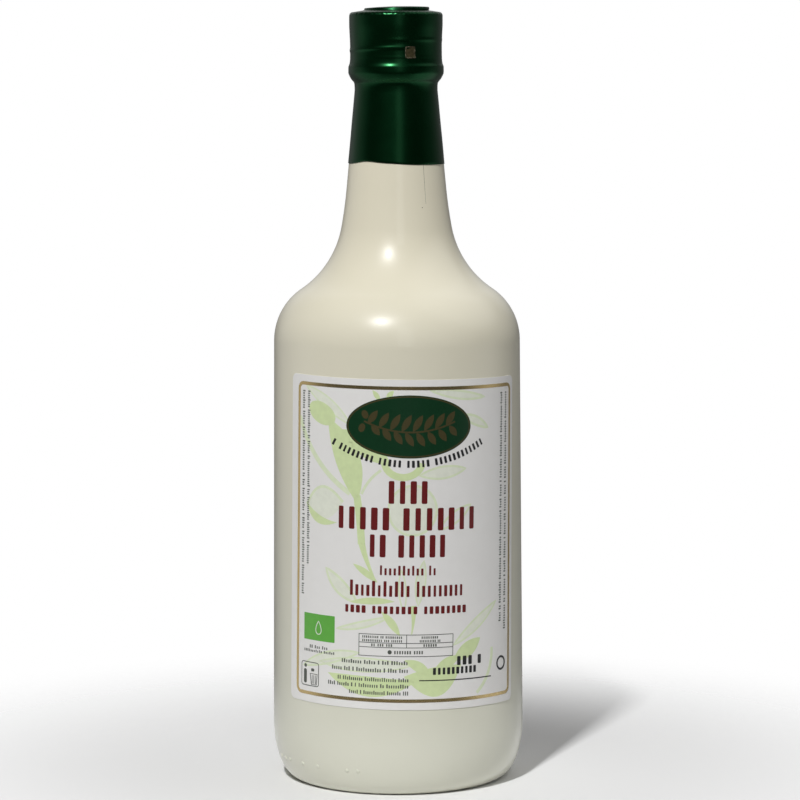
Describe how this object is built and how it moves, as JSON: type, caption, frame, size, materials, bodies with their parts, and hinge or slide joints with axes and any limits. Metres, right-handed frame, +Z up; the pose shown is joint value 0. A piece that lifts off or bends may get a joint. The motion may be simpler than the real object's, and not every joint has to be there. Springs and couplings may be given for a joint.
{
  "type": "olive oil bottle",
  "caption": "Tall round opaque oil bottle, shut and full, with a sleeve capsule over its screw closure and a paper label on the body.",
  "frame": {"origin": "centre of the standing face, on the bottle's axis", "axes": "+Z up along the bottle's axis, the label faces -Y, +X to the right of the label"},
  "size_m": [0.085, 0.0852, 0.2599],
  "materials": {
    "bottle": "glass with an opaque glossy ivory lacquer",
    "capsule": "glossy dark green metallic sleeve",
    "label": "smooth white paper with printed colour fields and gold foil lines",
    "seal_tab": "brown varnished foil"
  },
  "bodies": {
    "root": {"bottle": "bottle", "capsule": "capsule", "label": "label", "seal_tab": "seal_tab"}
  },
  "joints": []
}
